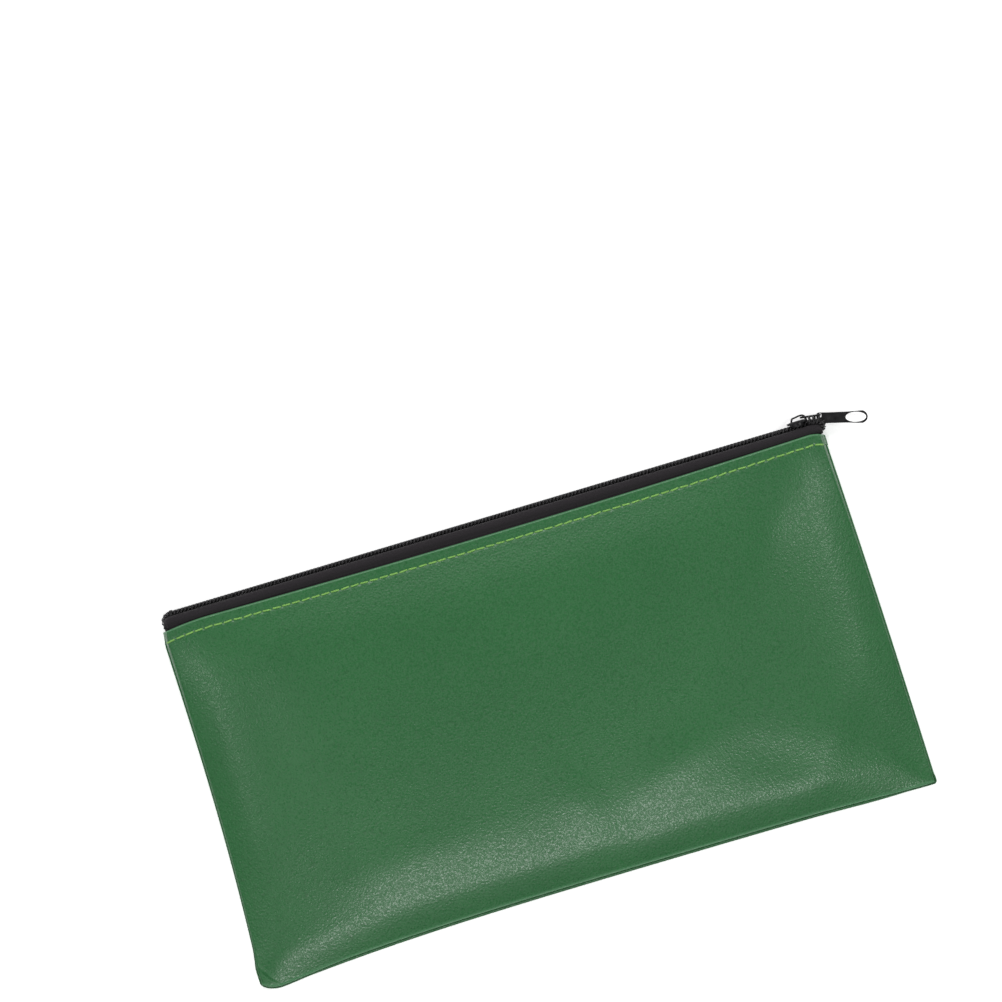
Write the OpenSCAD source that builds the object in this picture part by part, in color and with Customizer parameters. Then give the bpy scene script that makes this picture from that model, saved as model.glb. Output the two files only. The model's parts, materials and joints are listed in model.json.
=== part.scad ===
// Zip-top cash deposit bag of soft leatherette, lying on its back.
// X runs along the zip, Y across the bag towards the zip, Z up from the table.
// The origin is the centre of the back panel's flat resting face. Millimetres.

/* [Bag] */
// Width of the bag near its bottom seam
bag_w = 278; // [240:1:320]
// Width of the bag along the zip
mouth_w = 273.6; // [240:0.1:320]
// Height from the bottom seam to the top of the zip coils, at the middle
bag_h = 150.6; // [130:0.1:180]
// Height of the puffed front panel above the table
crown_h = 15.2; // [13:0.1:20]
// Thickness of the leatherette
sheet_t = 0.9; // [0.7:0.1:1.2]
// Height of the bottom seam above the table
seam_z = 2.2; // [1.6:0.1:3]
// How far the lower left corner hangs below the bottom edge
corner_sag = 4; // [0:0.5:6]
// Distance between two seam or edge stitches
stitch_pitch = 4; // [3:0.5:6]

/* [Zip] */
// Height of the zip's middle plane above the table
zip_z = 4.7; // [4.7:0.1:6]
// Thickness of the zip tape
tape_t = 0.45; // [0.35:0.05:0.6]
// Height of tape that shows above the folded leatherette edge
tape_show = 4.8; // [3.5:0.1:6]
// Height of a coil with the thread sewn over it
coil_t = 2.25; // [2:0.05:2.6]
// Width of one coil
coil_w = 2; // [1.8:0.1:2.4]
// Free lane between the two coils, where the slider's wedge runs
lane_w = 2; // [1.8:0.1:2.4]
// Outer radius of the curl at both ends of the coils
curl_r = 4; // [3.5:0.1:5]

/* [Slider] */
// Length of the slider body
slider_l = 9.6; // [8:0.1:11]
// Width of the slider body at its mouth
slider_w = 9; // [8.8:0.1:9.2]
// Thickness of each slider plate
plate_t = 0.95; // [0.8:0.05:1]
// Free height under the bridge
bridge_gap = 1.7; // [1.5:0.1:2]
// Thickness of the bridge strip
bridge_t = 0.6; // [0.5:0.05:0.8]
// Width of the bridge strip
bridge_w = 1.8; // [1.4:0.1:2]

/* [Pull] */
// Wire diameter of the link
link_d = 0.8; // [0.6:0.05:0.9]
// Length of the link between the middles of its two end bends
link_l = 7.8; // [6:0.1:8]
// Angle of the link below the zip line
link_drop = 8; // [0:1:9]
// Length of the pull tab
tab_l = 20.3; // [16:0.1:26]
// Width of the pull tab at its tip
tab_w = 4.9; // [4:0.1:6]
// Thickness of the pull tab
tab_t = 1; // [0.8:0.1:1.2]
// Angle of the pull tab below the zip line
tab_drop = 14.6; // [0:0.1:20]

/* [Hidden] */
$fn = 48;

leather = "seagreen";
black = "dimgray";
thread = "yellowgreen";

// Heights across the zip, from the top of the coils down
coil_top = bag_h / 2;
thread_t = 0.2;
tape_gap = 0.05;
tape_top = coil_top - coil_t - tape_gap;
edge_mid = tape_top - tape_show;
edge_bow = 1.5;

// Half widths of the zip, measured from its middle plane
coil_in = lane_w / 2;
coil_out = coil_in + coil_w;
tape_bulge = 4.6;
tape_waist = 2.95;
tape_depth = 12.5;

// Ends of the straight zip, and of the tape's folded wall
run_x = mouth_w / 2 - curl_r + 0.2;
tape_end = run_x - 3;
curl_y = coil_top - curl_r;

// Seam shape: a narrow flat lip, then a roll up to the crown
lip = 1.2;
seam_gap = 0.3;
lip_t = seam_gap / 2 + sheet_t;
roll_r = 22;
roll_top = 5;
back_roll = 16;
hem_d = 10;
hem_t = 0.8;
hem_rise = tape_waist + tape_gap + sheet_t + hem_t - lip_t + 0.1;
side_rise = 6.5;

// Side outlines, measured from the ends of the zip
left_reach = 1.2;
left_waist = 1;
right_inset = 1.3;
right_flare = (bag_w - mouth_w) / 2 + 1.4;

// Corner shapes: the lower left one is blunted, both upper ones round down
chamfer_w = 7;
chamfer_h = 4;
corner_l = 6;
corner_drop = 2.6;

// Grid of each panel
NX = 44;
NY = 26;

// Slider, measured from its own middle
slider_x = mouth_w / 2 - 10.2;
plate_gap = 0.25;
top_plate_y = coil_top + plate_gap;
plate_top = top_plate_y + plate_t;
low_plate_y = tape_top - tape_t - plate_gap - plate_t;
low_plate_w = 2 * (tape_bulge - tape_t - 0.35);
flange_t = 1.1;
wedge_w = 1.3;
wedge_x = 2.6;
tail_w = 7.6;

// Bridge
bridge_x0 = slider_x - 3.4;
bridge_x1 = slider_x + 4.2;
bridge_top = plate_top + bridge_gap + bridge_t;
bridge_slope = 1.3;

// Link and tab
pivot = [slider_x + 2.3, plate_top + bridge_gap / 2 + 0.1];
link_r = 1.8;
eye_x = 1.45;
eye_y = 1.3;
far = pivot + link_l * [cos(link_drop), -sin(link_drop)];
eye_l = 1.35;
eye_h = 1.6;
tab_neck_w = 4.4;
tab_rim = 0.5;
finger_l = 8.2;
finger_w = 4;

// ---- helpers ---------------------------------------------------------------

// A profile in Y and Z, drawn out along X
module along_x(x0, x1)
    translate([x0, 0, 0])
        rotate([90, 0, 90])
            linear_extrude(x1 - x0)
                children();

// A plan in X and Z, drawn out along Y
module along_y(y0, y1)
    translate([0, y1, 0])
        rotate([90, 0, 0])
            linear_extrude(y1 - y0)
                children();

// A rectangle in Y and Z whose Z is counted from the zip's middle plane
module zip_rect(y0, y1, w0, w1)
    translate([y0, zip_z + w0])
        square([y1 - y0, w1 - w0]);

// The curl of a zip strip at one end: it turns down through a quarter circle
module curl(end, y0, y1, w0, w1)
    translate([end * run_x, curl_y, 0])
        rotate([0, 0, end > 0 ? 0 : 90])
            rotate_extrude(angle = 90)
                translate([y0 - curl_y, zip_z + w0])
                    square([y1 - y0, w1 - w0]);

// A straight zip strip that curls down at both ends
module zip_strip(y0, y1, w0, w1) {
    along_x(-run_x, run_x)
        zip_rect(y0, y1, w0, w1);
    for (end = [-1, 1])
        curl(end, y0, y1, w0, w1);
}

// Mirrors a front zip piece to the back, about the zip's middle plane
module to_back()
    translate([0, 0, 2 * zip_z])
        mirror([0, 0, 1])
            children();

// ---- outline and surfaces of the soft body ---------------------------------

function ramp(t) = t <= 0 ? 0 : t >= 1 ? 1 : t * t * (3 - 2 * t);
function roll(d, r) = d >= r ? 1 : d <= 0 ? 0 : sqrt(1 - pow(1 - d / r, 2));

// Share of the way from the bottom seam (0) to the folded edge (1)
function rise_share(y) = (y + bag_h / 2) / (edge_mid + bag_h / 2);

// The left side is drawn in at its middle, the right one flares straight to the bottom
function left_x(y) =
    -mouth_w / 2 - left_reach - (bag_w - mouth_w) / 2 * pow(1 - rise_share(y), 3)
    + left_waist * sin(180 * min(1, max(0, rise_share(y))));
function right_x(y) =
    mouth_w / 2 - right_inset + right_flare * (1 - rise_share(y));
function bottom_y(x) =
    -bag_h / 2 - pow(x / bag_w * 2, 2) - corner_sag * pow(max(0, -x) / bag_w * 2, 3)
    + chamfer_h * max(0, (-x - bag_w / 2 + chamfer_w - 1.5) / chamfer_w);
function edge_y(x) =
    edge_mid + edge_bow * pow(2 * x / mouth_w, 2)
    - corner_drop * pow(max(0, abs(x) - mouth_w / 2 + corner_l) / corner_l, 2);

// Height of the seam's groove above the table
function groove_z(y) = seam_z + (zip_z - seam_z) * ramp(rise_share(y));

function side_d(x, y) = max(0, min(x - left_x(y), right_x(y) - x) - lip);
function bottom_d(x, y) = max(0, y - bottom_y(x) - lip);
function top_d(x, y) = max(0, edge_y(x) - y);

// The roll at the sides tightens towards the zip
function side_roll(x, y, r) = roll(side_d(x, y), roll_top + (r - roll_top) * ramp(top_d(x, y) / 60));

function dome(x, y) =
    (1 - pow(x / bag_w * 2, 2)) * max(0, 1 - pow((y - 4) / (bag_h / 2 - 4), 2));
dome_h = crown_h - groove_z(0) - lip_t - side_rise;

function front_z(x, y) =
    groove_z(y) + lip_t
    + side_roll(x, y, roll_r) * roll(bottom_d(x, y), roll_r)
        * (hem_rise + (side_rise - hem_rise) * ramp(top_d(x, y) / 45))
    + dome_h * max(0, dome(x, y)) * side_roll(x, y, roll_r);

function back_z(x, y) =
    (groove_z(y) - lip_t)
    * (1 - side_roll(x, y, back_roll) * roll(bottom_d(x, y), back_roll));

// The folded hem doubles the sheet along the zip
function panel_t(x, y) =
    sheet_t + hem_t * (1 - ramp((top_d(x, y) - hem_d) / 3)) * side_roll(x, y, roll_r);

// Grid lines crowd towards the seams, where the panels roll
function crowd(t) = t - 0.12 * sin(360 * t);
function grid_xy(i, j) =
    let (u = crowd(i / NX))
    let (v = crowd(j / NY))
    let (y0 = -bag_h / 2 + v * (edge_mid + bag_h / 2))
    let (x = left_x(y0) + u * (right_x(y0) - left_x(y0)))
    [x, bottom_y(x) + v * (edge_y(x) - bottom_y(x))];

// Faces of a closed sheet between two lists of n points on the same grid
function grid_faces(n) = [
    for (i = [0:NX - 1], j = [0:NY - 1])
        let (a = i * (NY + 1) + j, b = a + NY + 1)
        each [[a, a + 1, b + 1], [a, b + 1, b]],
    for (i = [0:NX - 1], j = [0:NY - 1])
        let (a = n + i * (NY + 1) + j, b = a + NY + 1)
        each [[a, b + 1, a + 1], [a, b, b + 1]]
];
function rim(a, b, n) = [[a, b, b + n], [a, b + n, a + n]];
function rim_faces(n) = [
    for (i = [0:NX - 1])
        let (a = i * (NY + 1), b = a + NY + 1)
        each concat(rim(a, b, n), rim(b + NY, a + NY, n)),
    for (j = [0:NY - 1])
        let (a = j, b = NX * (NY + 1) + j)
        each concat(rim(a + 1, a, n), rim(b, b + 1, n))
];
module sheet(low, high) {
    n = len(low);
    polyhedron(concat(high, low), concat(grid_faces(n), rim_faces(n)), convexity = 4);
}

module front_panel() {
    grid = [for (i = [0:NX], j = [0:NY]) grid_xy(i, j)];
    high = [for (p = grid) [p.x, p.y, front_z(p.x, p.y)]];
    low = [for (q = high) q - [0, 0, panel_t(q.x, q.y)]];
    color(leather)
        sheet(low, high);
}

module back_panel() {
    grid = [for (i = [0:NX], j = [0:NY]) grid_xy(i, j)];
    low = [for (p = grid) [p.x, p.y, back_z(p.x, p.y)]];
    high = [for (q = low) q + [0, 0, panel_t(q.x, q.y)]];
    color(leather)
        sheet(low, high);
}

// ---- zip tapes and coils ---------------------------------------------------

// The tape lies flat under the coil, bulges round the slider, then follows the hem
module tape_fold() {
    shoulder = 0.4;
    slant = 0.1;
    plate_y = low_plate_y - 0.05;
    hem_y = edge_mid + edge_bow + slant;
    low_y = tape_top - tape_depth;
    under_y = tape_top - tape_t;
    bulge_in = tape_bulge - tape_t;
    waist_in = tape_waist - tape_t;
    along_x(-tape_end, tape_end)
        translate([0, zip_z])
            polygon([
                [tape_top, coil_in], [tape_top, tape_bulge - shoulder],
                [tape_top - shoulder, tape_bulge], [plate_y, tape_bulge],
                [hem_y, tape_waist], [low_y, tape_waist],
                [low_y, waist_in], [hem_y - slant, waist_in],
                [plate_y - slant, bulge_in], [under_y, bulge_in], [under_y, coil_in]
            ]);
}

module front_tape()
    color(black)
        union() {
            tape_fold();
            zip_strip(tape_top - tape_t, tape_top, coil_in, coil_out);
        }

module back_tape()
    to_back()
        front_tape();

// A coil is a rounded rail with a bore for its filler cord
cord_d = 0.8;
cord_y = (tape_top + tape_gap + coil_top - thread_t) / 2;
cord_w = coil_in + coil_w / 2;
module coil_section(bore) {
    y0 = tape_top + tape_gap;
    y1 = coil_top - thread_t;
    r = 0.6;
    difference() {
        union() {
            zip_rect(y0, y1, coil_in + r, coil_out - r);
            zip_rect(y0 + r, y1 - r, coil_in, coil_out);
            for (y = [y0 + r, y1 - r], w = [coil_in + r, coil_out - r])
                translate([y, zip_z + w])
                    circle(r);
        }
        if (bore)
            translate([cord_y, zip_z + cord_w])
                circle(d = cord_d + 0.1);
    }
}

// The same section carried round both curls
module curled_section() {
    along_x(-run_x, run_x)
        children();
    for (end = [-1, 1])
        translate([end * run_x, curl_y, 0])
            rotate([0, 0, end > 0 ? 0 : 90])
                rotate_extrude(angle = 90)
                    translate([-curl_y, 0])
                        children();
}

module front_coil()
    color(black)
        curled_section()
            coil_section(true);

module back_coil()
    to_back()
        front_coil();

module front_coil_cord()
    color("black")
        curled_section()
            translate([cord_y, zip_z + cord_w])
                circle(d = cord_d);

module back_coil_cord()
    to_back()
        front_coil_cord();

// Two rows of sewing thread hold each coil down on its tape
module front_coil_thread()
    color("black")
        for (w = [coil_in + 0.65, coil_out - 0.95])
            zip_strip(coil_top - thread_t + 0.01, coil_top, w, w + 0.3);

module back_coil_thread()
    to_back()
        front_coil_thread();

// ---- zip stops -------------------------------------------------------------

stop_l = 1.2;
stop_t = 0.35;

// A small clip crimped over the end of one coil
module clip(x, w0, w1)
    along_x(x, x + stop_l)
        zip_rect(coil_top + 0.02, coil_top + stop_t, w0, w1);

module front_top_stop()
    color(black)
        union() {
            clip(run_x - stop_l, coil_in - 0.15, coil_out + stop_t);
            along_x(run_x - stop_l, run_x)
                zip_rect(tape_top + tape_gap, coil_top + stop_t, coil_out + 0.02, coil_out + stop_t);
        }

module back_top_stop()
    to_back()
        front_top_stop();

// The bottom stop spans both coils and closes round their outer sides
module bottom_stop()
    color(black)
        union() {
            clip(-run_x, -coil_out - stop_t, coil_out + stop_t);
            for (side = [-1, 1])
                along_x(-run_x, -run_x + stop_l)
                    translate([0, zip_z])
                        translate([tape_top + tape_gap, side * (coil_out + 0.02 + stop_t / 2) - stop_t / 2])
                            square([coil_t + stop_t, stop_t]);
        }

// ---- slider ----------------------------------------------------------------

// Plan of a slider plate: wide rounded mouth, narrower tail with cut corners
mouth_r = 1.4;
module plate_plan(mouth, tail) {
    r = mouth_r;
    h = slider_l / 2;
    translate([slider_x, zip_z])
        union() {
            polygon([
                [h - r, -mouth / 2], [h, -mouth / 2 + r], [h, mouth / 2 - r], [h - r, mouth / 2],
                [0, mouth / 2], [-h + 1, tail / 2], [-h, tail / 2 - 1],
                [-h, -tail / 2 + 1], [-h + 1, -tail / 2], [0, -mouth / 2]
            ]);
            for (side = [-1, 1])
                translate([h - r, side * (mouth / 2 - r)])
                    circle(r);
        }
}

// The wedge that parts the coils, seen from above
module wedge_plan() {
    half = wedge_w / 2;
    blunt = wedge_w / 5;
    polygon([[-1.9, 0], [0, half], [1.3, blunt], [1.3, -blunt], [0, -half]]);
}

module slider_body() {
    flange_y = tape_top + 0.4;
    flange_in = coil_out + 0.3;
    flange_out = flange_in + flange_t - 0.15;
    color(black)
        union() {
            along_y(top_plate_y, plate_top)
                plate_plan(slider_w, tail_w + 1.2);
            along_y(low_plate_y, low_plate_y + plate_t)
                plate_plan(low_plate_w, tail_w);
            along_x(slider_x - slider_l / 2 + 1, slider_x + slider_l / 2 - mouth_r) {
                zip_rect(flange_y, top_plate_y + 0.1, flange_in, flange_out);
                zip_rect(flange_y, top_plate_y + 0.1, -flange_out, -flange_in);
            }
            along_y(low_plate_y + 0.1, top_plate_y + 0.1)
                translate([slider_x + wedge_x, zip_z])
                    wedge_plan();
        }
}

// Side of the bridge in X and Y: it slopes up at the tail and rounds over at the mouth
module bridge_side(inset) {
    x0 = bridge_x0 + inset;
    x1 = bridge_x1 - inset;
    y0 = plate_top;
    y1 = bridge_top - inset;
    polygon([
        [x0, y0], [x0 + bridge_slope, y1 - 0.5], [x0 + bridge_slope + 0.7, y1],
        [x1 - 0.9, y1], [x1 - 0.25, y1 - 0.6], [x1, y0]
    ]);
}

module slider_bridge()
    color(black)
        translate([0, 0, zip_z - bridge_w / 2])
            linear_extrude(bridge_w)
                difference() {
                    bridge_side(0);
                    translate([0, -0.01])
                        bridge_side(bridge_t);
                }

// ---- pull ------------------------------------------------------------------

// A wire link: two straight rails joined by half rings, threaded through the bridge
module pull_link()
    color(black)
        translate([pivot.x, pivot.y, zip_z])
            rotate([0, 0, -link_drop])
                rotate([90, 0, 0])
                    union() {
                        for (side = [-1, 1])
                            translate([link_r, side * link_r, 0])
                                rotate([0, 90, 0])
                                    cylinder(d = link_d, h = link_l - 2 * link_r);
                        for (end = [0, 1])
                            translate([end == 0 ? link_r : link_l - link_r, 0, 0])
                                rotate([0, 0, end == 0 ? 90 : -90])
                                    rotate_extrude(angle = 180)
                                        translate([link_r, 0])
                                            circle(d = link_d);
                    }

// The flat tab: a slot for the link at its base, a finger hole near its tip
module tab_plan() {
    tip = tab_l - tab_w / 2;
    difference() {
        union() {
            polygon([
                [0.6, -tab_neck_w / 2], [tip, -tab_w / 2], [tip, tab_w / 2],
                [0.6, tab_neck_w / 2], [0, tab_neck_w / 2 - 0.6], [0, -tab_neck_w / 2 + 0.6]
            ]);
            translate([tip, 0])
                circle(d = tab_w);
        }
        translate([eye_x - 0.6, eye_y + 0.55 - eye_h])
            square([eye_l, eye_h]);
        finger_hole(tab_l - tab_rim);
    }
}

// An oval hole along the tab that ends at x1
module finger_hole(x1)
    translate([x1 - finger_l / 2, 0])
        scale([finger_l / finger_w, 1])
            circle(d = finger_w);

module pull_tab()
    color(black)
        translate([far.x, far.y, zip_z - tab_t / 2])
            rotate([0, 0, -tab_drop])
                translate([-eye_x, -eye_y, 0])
                    linear_extrude(tab_t)
                        tab_plan();

// ---- stitching -------------------------------------------------------------

stitch_l = 3.2;
stitch_w = 0.5;
edge_inset = 4.2;
seam_inset = 0.7;

// One row of stitches along the hem, half sunk in the leatherette
module front_topstitch()
    color(thread)
        for (x = [-run_x + 2:stitch_pitch:run_x - 4])
            let (y = edge_y(x) - edge_inset)
                translate([x, y - stitch_w / 2, front_z(x + stitch_l / 2, y) - 0.2])
                    cube([stitch_l, stitch_w, 0.4]);

// The row on the back stays inside the flat resting face
module back_topstitch()
    color(thread)
        for (x = [-run_x + 2:stitch_pitch:run_x - 4])
            let (y = edge_y(x) - edge_inset)
                translate([x, y - stitch_w / 2, 0.02])
                    cube([stitch_l, stitch_w, 0.4]);

// One lock stitch through both seam lips
module seam_stitch(x, y)
    translate([x, y, groove_z(y) - sheet_t])
        cylinder(d = stitch_w, h = 2 * sheet_t);

module left_seam_stitch()
    color(thread)
        for (y = [-bag_h / 2 + 8:stitch_pitch:edge_mid - 4])
            seam_stitch(left_x(y) + seam_inset, y);

module right_seam_stitch()
    color(thread)
        for (y = [-bag_h / 2 + 4:stitch_pitch:edge_mid - 4])
            seam_stitch(right_x(y) - seam_inset, y);

module bottom_seam_stitch()
    color(thread)
        for (x = [-bag_w / 2 + 9:stitch_pitch:bag_w / 2 - 5])
            seam_stitch(x, bottom_y(x) + seam_inset);

// ---- nodes -----------------------------------------------------------------

front_panel();
back_panel();
front_tape();
back_tape();
front_coil();
back_coil();
front_coil_cord();
back_coil_cord();
front_coil_thread();
back_coil_thread();
slider_body();
slider_bridge();
pull_link();
pull_tab();
front_top_stop();
back_top_stop();
bottom_stop();
front_topstitch();
back_topstitch();
left_seam_stitch();
right_seam_stitch();
bottom_seam_stitch();
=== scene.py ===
"""Looks of a zip-top cash deposit bag in green leatherette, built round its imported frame.

Lengths are in millimetres inside this script and become metres when a mesh is made.
X runs along the zip, Y across the bag towards the zip, Z up from the table.
"""

import json
import math
import random

import bpy
import numpy as np
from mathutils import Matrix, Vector
from mathutils.geometry import tessellate_polygon


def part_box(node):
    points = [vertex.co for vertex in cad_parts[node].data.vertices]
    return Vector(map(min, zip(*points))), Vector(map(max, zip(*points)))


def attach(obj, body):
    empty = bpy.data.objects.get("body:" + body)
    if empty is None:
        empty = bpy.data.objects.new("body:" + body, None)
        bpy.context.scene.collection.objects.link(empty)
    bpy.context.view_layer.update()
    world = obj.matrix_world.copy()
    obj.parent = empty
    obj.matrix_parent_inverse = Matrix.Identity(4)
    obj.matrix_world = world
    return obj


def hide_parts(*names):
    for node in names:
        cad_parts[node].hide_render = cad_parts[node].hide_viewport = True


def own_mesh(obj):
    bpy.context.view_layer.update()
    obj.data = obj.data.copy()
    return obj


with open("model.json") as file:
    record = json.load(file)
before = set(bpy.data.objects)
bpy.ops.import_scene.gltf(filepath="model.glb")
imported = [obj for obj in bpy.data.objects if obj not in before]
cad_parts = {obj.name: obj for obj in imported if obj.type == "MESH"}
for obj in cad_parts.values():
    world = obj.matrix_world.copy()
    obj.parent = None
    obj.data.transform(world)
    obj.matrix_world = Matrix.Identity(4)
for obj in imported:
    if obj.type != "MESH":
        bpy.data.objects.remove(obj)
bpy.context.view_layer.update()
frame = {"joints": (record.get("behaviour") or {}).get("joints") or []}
MM = 0.001


def node_box(node):
    """Lowest and highest corner of a CAD node, in millimetres."""
    low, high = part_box(node)
    return np.array(low) / MM, np.array(high) / MM


# ---- sizes ----

# Bag outline: the width at the mouth and at the bottom, and how each side strays from straight
MOUTH_W = 273.6
BAG_W = 278.0
COIL_TOP = node_box("front_coil_thread")[1][1]
BOTTOM = -COIL_TOP
TAPE_TOP = COIL_TOP - 2.3
EDGE_MID = TAPE_TOP - 4.6
EDGE_BOW_LEFT = 1.4
EDGE_BOW_RIGHT = 1.75
CORNER_L_LEFT = 20.0
CORNER_L_RIGHT = 8.0
CORNER_DROP_LEFT = 1.8
CORNER_DROP_RIGHT = 2.3
LEFT_INSET = 1.5
LEFT_HOLLOW = 1.0
LEFT_STEP = 0.9
LEFT_FOOT = 0.6
RIGHT_INSET = 0.9
RIGHT_FLARE = 3.7
RIGHT_BULGE = 0.45
BOTTOM_SAG = 0.6
CORNER_SAG = 4.0
RIGHT_SAG = 0.45
RIGHT_SAG_X = 116.0
RIGHT_SAG_L = 16.0
BLUNT_R = 8.5
BLUNT_RISE = 5.0
TIGHT_R = 1.2

# Soft body: the sheet, the groove between the panels, and the edges that roll into it
SHEET_T = 0.54
SEAM_Z = 2.2
EDGE_ROLL = 1.1
EDGE_START = 0.3
EDGE_LIFT = 1.25
BACK_LIFT = 1.1
BACK_GAP = 1.35
BACK_ROLL = 16.0
BACK_ROLL_TOP = 5.0
BACK_ROLL_SPAN = 60.0

# The front's slope inside the seams, its air-filled belly, and its hem
SIDE_SLOPE = 0.15
SIDE_BAND = 12.0
SIDE_BLEND = 2.5
PUFF_H = 9.0
PUFF_R = 24.0
DENT_FADE_SIDE = 14.0
DENT_FADE_TOP = 24.0
HEM_H = 9.5
HEM_SPAN = 20.0
HEM_ROLL = 2.0
FOLD_R = 0.85
FOLD_END_L = 4.0
FOLD_END_SHARE = 0.2
HEM_BACK = (1.5, 3.5)

# The pinch across the blunt corner: its place, length and turn, and then, for its ridge and
# its valley, the distance across it, the width and the height
PINCH_X = 3.4
PINCH_Y = 0.8
PINCH_L = 4.0
PINCH_TURN = math.radians(-52)
PINCH_FOLDS = [(0.9, 0.8, 0.22), (-0.3, 0.7, -0.12)]

# Seam lips: how far the back panel shows beyond the front one
LIP_SIDE_LEFT = 0.35
LIP_SIDE_RIGHT = 0.7
LIP_BOTTOM = 1.1

# Zip: its chain, and the curl in which each end turns down into the bag
SLIDER_LOW, SLIDER_HIGH = node_box("slider_body")
ZIP_Z = (SLIDER_LOW[2] + SLIDER_HIGH[2]) / 2
RUN_X = MOUTH_W / 2 - 3.8
CURL_Y = COIL_TOP - 4.0
CURL_R = 2.9
TAIL_L = 2.2
PITCH = 1.48
WIRE_R = 0.33
COIL_OUT = 3.0
TAPE_WAIST = 2.95
TAPE_BULGE = 4.45
TAPE_T = 0.45
TAPE_RISE = 0.42
TAPE_L = 12.0

# The unmeshed end, where the coils roll apart in front of the slider
FAN_START = SLIDER_HIGH[0] - 1.8
FAN_LENGTH = 2.6
FAN_DECAY = 6.5
FAN_TURN = math.radians(76)
FAN_PRESS = 0.76

# Stitches
STITCH_PITCH = 4.0
STITCH_GAP = 0.8
STITCH_L = STITCH_PITCH - STITCH_GAP
STITCH_R = 0.31
STITCH_DRIFT = 0.12
STITCH_TILT = (-0.12, 0.2)
EDGE_INSET = 4.35
FIRST_STITCH = -RUN_X - 4
STITCHES = 68
SEAM_STITCH_R = 0.22
SEAM_STITCH_LIFT = 0.1
TWIST_L = 1.3

# How the topstitch draws the sheet down: along the row, at each hole, and more at the back
ROW_DRAW = 0.05
ROW_DRAW_W = 0.9
HOLE_DRAW = 0.25
HOLE_R = 0.55
BACK_DRAW = 1.4


# ---- small helpers ----

def ramp(t):
    """A smooth step from 0 to 1."""
    t = np.clip(t, 0, 1)
    return t * t * (3 - 2 * t)


def roll(d, r):
    """A quarter round: 0 at the edge, 1 from r inwards."""
    t = np.clip(d / r, 0, 1)
    return np.sqrt(1 - (1 - t) ** 2)


def swell(d, r):
    """A softer rise than a quarter round, as a stuffed seam has it."""
    t = np.clip(d / r, 0, 1)
    return 1 - (1 - t) ** 2.2


def puff(d, r):
    """A rise that slackens all the way in, as an air-filled panel has it."""
    return 1 - np.exp(-np.clip(d, 0, None) / r)


def band(d, width):
    """Rises with d at a slope of one, and levels off past a soft bend."""
    bend = 1.3
    return d - bend * np.logaddexp(0, (d - width) / bend)


def soft_min(a, b, blend):
    """The smaller of two distances, rounded off where they are alike."""
    return -blend * np.logaddexp(-a / blend, -b / blend)


def hump(d, width):
    """A bell of height one."""
    return np.exp(-((d / width) ** 2))


def make_object(name, points, faces, body):
    """A smooth mesh piece, from points in millimetres, that rides on a CAD body."""
    mesh = bpy.data.meshes.new(name)
    mesh.from_pydata([tuple(p) for p in np.asarray(points) * MM], [], faces)
    mesh.validate()
    mesh.shade_smooth()
    obj = bpy.data.objects.new(name, mesh)
    bpy.context.scene.collection.objects.link(obj)
    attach(obj, body)
    return obj


def grid_faces(nu, nv, flip=False):
    """Quads of a grid with nu by nv points, stored row by row."""
    faces = []
    for i in range(nu - 1):
        for j in range(nv - 1):
            a = i * nv + j
            quad = (a, a + nv, a + nv + 1, a + 1)
            faces.append(quad[::-1] if flip else quad)
    return faces


def unit_rows(vectors):
    return vectors / np.linalg.norm(vectors, axis=1)[:, None]


def carried_side(tangent):
    """A direction square to a path, carried along it without twisting."""
    side = np.zeros_like(tangent)
    start = np.array([0, 0, 1.0]) if abs(tangent[0][2]) < 0.9 else np.array([1.0, 0, 0])
    side[0] = start - tangent[0] * (start @ tangent[0])
    side[0] /= np.linalg.norm(side[0])
    for i in range(1, len(tangent)):
        s = side[i - 1] - tangent[i] * (side[i - 1] @ tangent[i])
        side[i] = s / np.linalg.norm(s)
    return side


def tube(points, radius, sides=8):
    """Points and faces of a round tube along a path, closed at both ends."""
    points = np.asarray(points, float)
    n = len(points)
    tangent = unit_rows(np.gradient(points, axis=0))
    side = carried_side(tangent)
    other = np.cross(tangent, side)
    angle = np.linspace(0, 2 * math.pi, sides, endpoint=False)
    ring = (
        side[:, None, :] * np.cos(angle)[None, :, None]
        + other[:, None, :] * np.sin(angle)[None, :, None]
    )
    verts = (points[:, None, :] + ring * radius).reshape(-1, 3)
    faces = []
    for i in range(n - 1):
        for k in range(sides):
            a, b = i * sides + k, i * sides + (k + 1) % sides
            faces.append((a, b, b + sides, a + sides))
    faces.append(tuple(range(sides))[::-1])
    faces.append(tuple((n - 1) * sides + k for k in range(sides)))
    return verts, faces


def join(parts):
    """One list of points and faces out of several."""
    points, faces, base = [], [], 0
    for p, f in parts:
        points.append(np.asarray(p))
        faces += [tuple(i + base for i in face) for face in f]
        base += len(p)
    return np.concatenate(points), faces


def smooth_path(points, steps=3):
    """A Catmull-Rom curve through the points."""
    p = np.asarray(points, float)
    p = np.concatenate([[2 * p[0] - p[1]], p, [2 * p[-1] - p[-2]]])
    t = np.linspace(0, 1, steps, endpoint=False)[:, None]
    out = []
    for a, b, c, d in zip(p[:-3], p[1:-2], p[2:-1], p[3:]):
        out.append(
            0.5 * (2 * b + (c - a) * t + (2 * a - 5 * b + 4 * c - d) * t**2
                   + (3 * b - a - 3 * c + d) * t**3)
        )
    return np.concatenate(out + [p[-2:-1]])


# ---- outline and surfaces of the soft body ----

def rise_share(y):
    """0 at the bottom edge and 1 at the hem."""
    return (y - BOTTOM) / (EDGE_MID - BOTTOM)


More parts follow.
